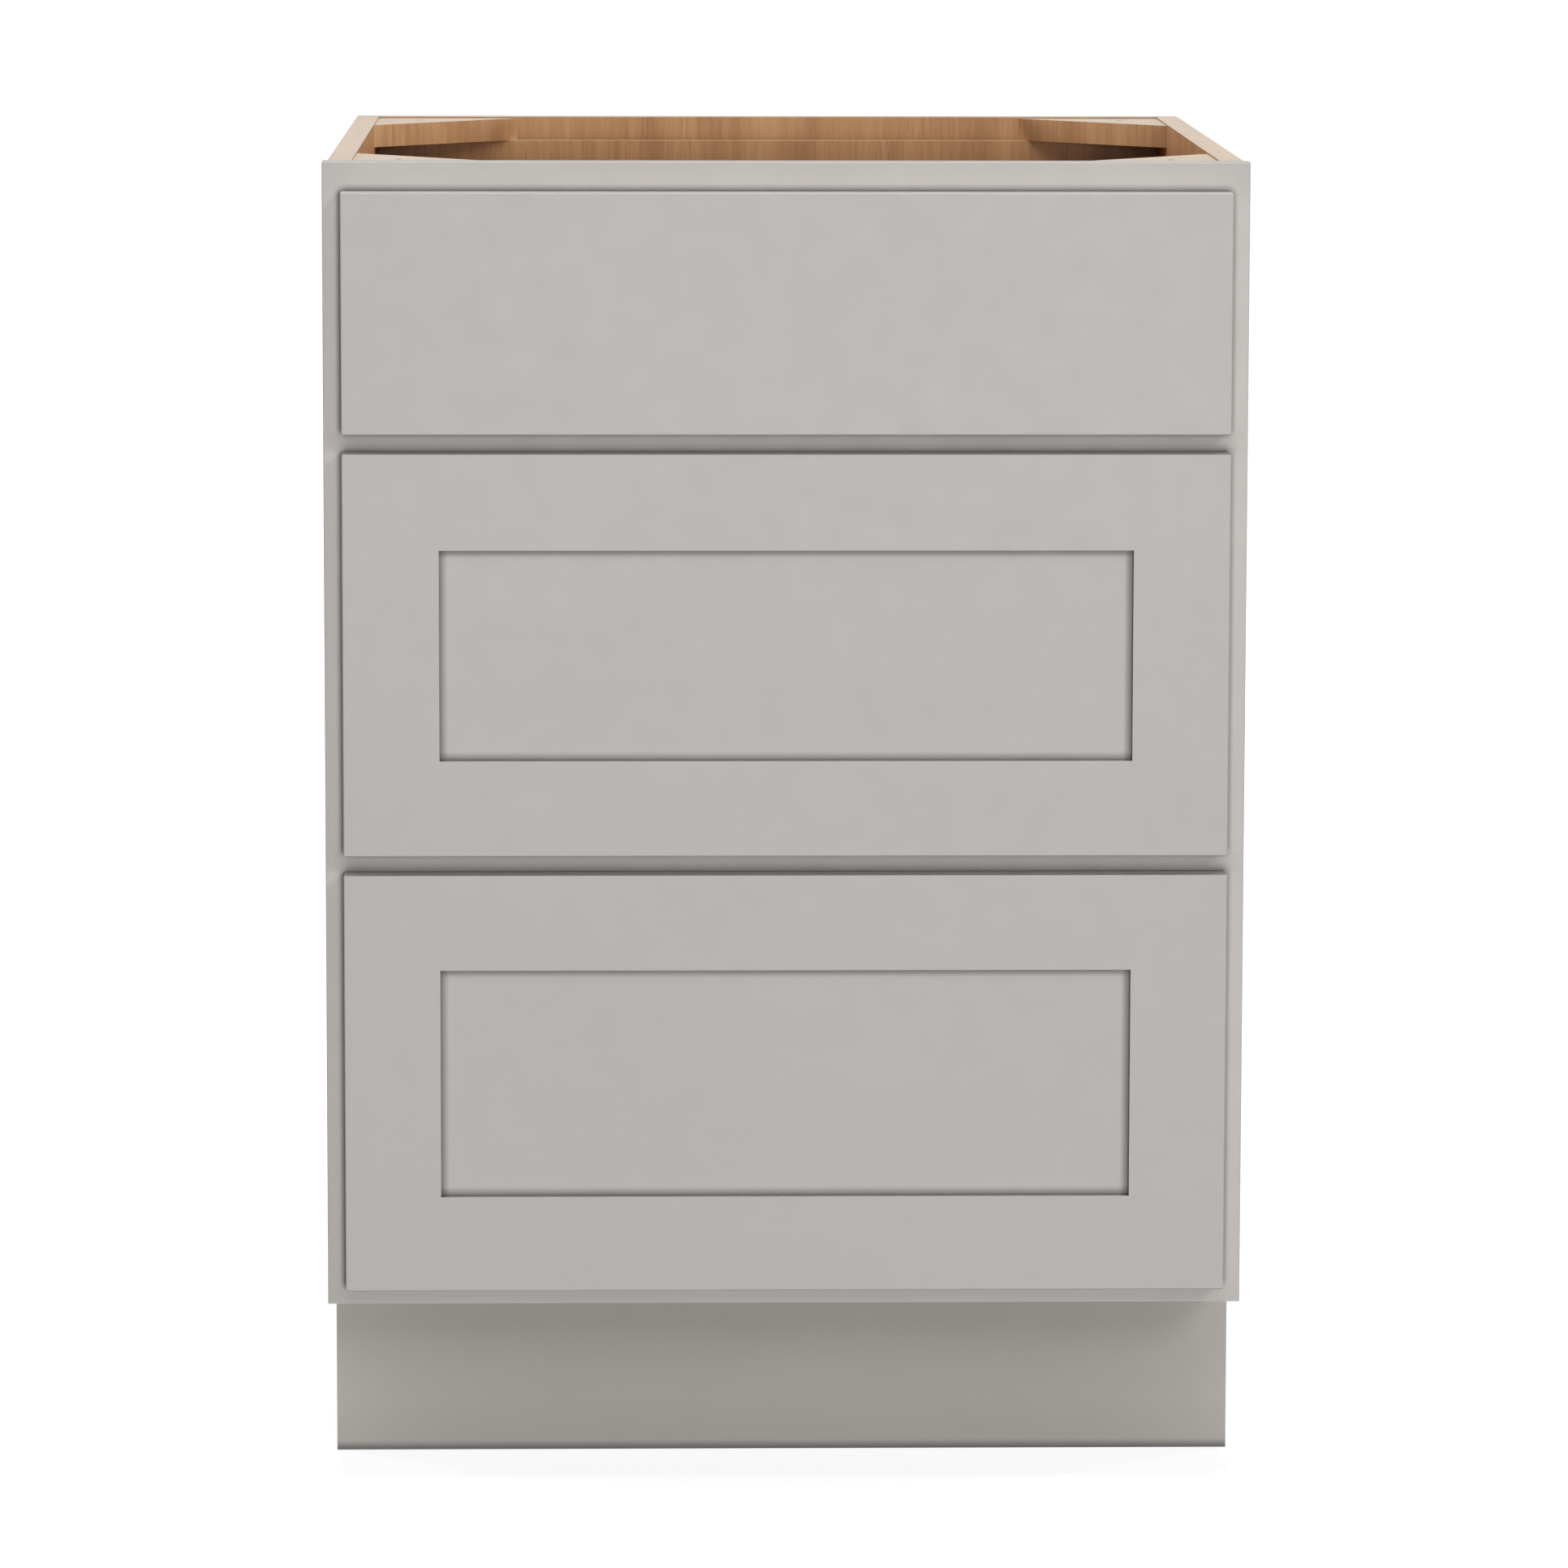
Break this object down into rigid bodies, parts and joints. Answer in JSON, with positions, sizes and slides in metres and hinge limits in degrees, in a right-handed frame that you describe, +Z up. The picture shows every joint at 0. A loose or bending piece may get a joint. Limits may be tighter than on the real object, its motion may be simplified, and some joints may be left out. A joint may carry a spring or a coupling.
{
  "type": "drawer base cabinet",
  "caption": "Framed kitchen base cabinet in warm grey paint with an open top, corner blocks, a recessed toe kick and full-extension dovetailed drawers.",
  "frame": {"origin": "on the floor, at the middle of the overall box", "axes": "+Z up, the drawers open towards -Y, +X to the right seen from the front"},
  "size_m": [0.6096, 0.6302, 0.8763],
  "materials": {
    "grey_paint": "warm light grey satin paint on wood, smooth, with a faint brushed tooth",
    "cabinet_ply": "clear-coated maple veneer plywood, upright grain, cream cut edges",
    "drawer_maple": "clear-coated solid maple, dovetailed",
    "slide_steel": "zinc-plated rolled steel",
    "screw_steel": "zinc-plated steel",
    "bumper": "soft frosted clear polymer"
  },
  "bodies": {
    "cabinet": {"back_panel": "cabinet_ply", "bottom_hang_rail": "cabinet_ply", "bottom_panel": "cabinet_ply", "bottom_slide_cabinet_members": "slide_steel", "frame_bottom_rail": "grey_paint", "frame_left_stile": "grey_paint", "frame_lower_mid_rail": "grey_paint", "frame_right_stile": "grey_paint", "frame_top_rail": "grey_paint", "frame_upper_mid_rail": "grey_paint", "front_left_corner_block": "cabinet_ply", "front_right_corner_block": "cabinet_ply", "left_side_panel": "grey_paint", "middle_slide_cabinet_members": "slide_steel", "rear_left_corner_block": "cabinet_ply", "rear_right_corner_block": "cabinet_ply", "right_side_panel": "grey_paint", "slide_mounting_screws": "screw_steel", "slide_rear_brackets": "slide_steel", "toe_kick_board": "grey_paint", "top_hang_rail": "cabinet_ply", "top_slide_cabinet_members": "slide_steel"},
    "top_drawer": {"top_box_back": "drawer_maple", "top_box_floor": "drawer_maple", "top_box_front": "drawer_maple", "top_box_left_side": "drawer_maple", "top_box_right_side": "drawer_maple", "top_drawer_bumpers": "bumper", "top_drawer_front": "grey_paint", "top_drawer_screws": "screw_steel", "top_slide_drawer_members": "slide_steel"},
    "top_slide_middle": {"top_slide_middle_members": "slide_steel"},
    "middle_drawer": {"middle_box_back": "drawer_maple", "middle_box_floor": "drawer_maple", "middle_box_front": "drawer_maple", "middle_box_left_side": "drawer_maple", "middle_box_right_side": "drawer_maple", "middle_drawer_bumpers": "bumper", "middle_drawer_screws": "screw_steel", "middle_front_bottom_rail": "grey_paint", "middle_front_left_stile": "grey_paint", "middle_front_panel": "grey_paint", "middle_front_right_stile": "grey_paint", "middle_front_top_rail": "grey_paint", "middle_slide_drawer_members": "slide_steel"},
    "middle_slide_middle": {"middle_slide_middle_members": "slide_steel"},
    "bottom_drawer": {"bottom_box_back": "drawer_maple", "bottom_box_floor": "drawer_maple", "bottom_box_front": "drawer_maple", "bottom_box_left_side": "drawer_maple", "bottom_box_right_side": "drawer_maple", "bottom_drawer_bumpers": "bumper", "bottom_drawer_screws": "screw_steel", "bottom_front_bottom_rail": "grey_paint", "bottom_front_left_stile": "grey_paint", "bottom_front_panel": "grey_paint", "bottom_front_right_stile": "grey_paint", "bottom_front_top_rail": "grey_paint", "bottom_slide_drawer_members": "slide_steel"},
    "bottom_slide_middle": {"bottom_slide_middle_members": "slide_steel"}
  },
  "joints": [
    {"name": "top_drawer_slide", "type": "slide", "parent": "cabinet", "child": "top_drawer", "axis": [0, -1, 0], "range_m": [0, 0.5334]},
    {"name": "top_slide_extension", "type": "slide", "parent": "cabinet", "child": "top_slide_middle", "axis": [0, -1, 0], "range_m": [0, 0.2667]},
    {"name": "middle_drawer_slide", "type": "slide", "parent": "cabinet", "child": "middle_drawer", "axis": [0, -1, 0], "range_m": [0, 0.5334]},
    {"name": "middle_slide_extension", "type": "slide", "parent": "cabinet", "child": "middle_slide_middle", "axis": [0, -1, 0], "range_m": [0, 0.2667]},
    {"name": "bottom_drawer_slide", "type": "slide", "parent": "cabinet", "child": "bottom_drawer", "axis": [0, -1, 0], "range_m": [0, 0.5334]},
    {"name": "bottom_slide_extension", "type": "slide", "parent": "cabinet", "child": "bottom_slide_middle", "axis": [0, -1, 0], "range_m": [0, 0.2667]}
  ],
  "couplings": [
    {"joint": "top_slide_extension", "follows": "top_drawer_slide", "ratio": 0.5},
    {"joint": "middle_slide_extension", "follows": "middle_drawer_slide", "ratio": 0.5},
    {"joint": "bottom_slide_extension", "follows": "bottom_drawer_slide", "ratio": 0.5}
  ]
}
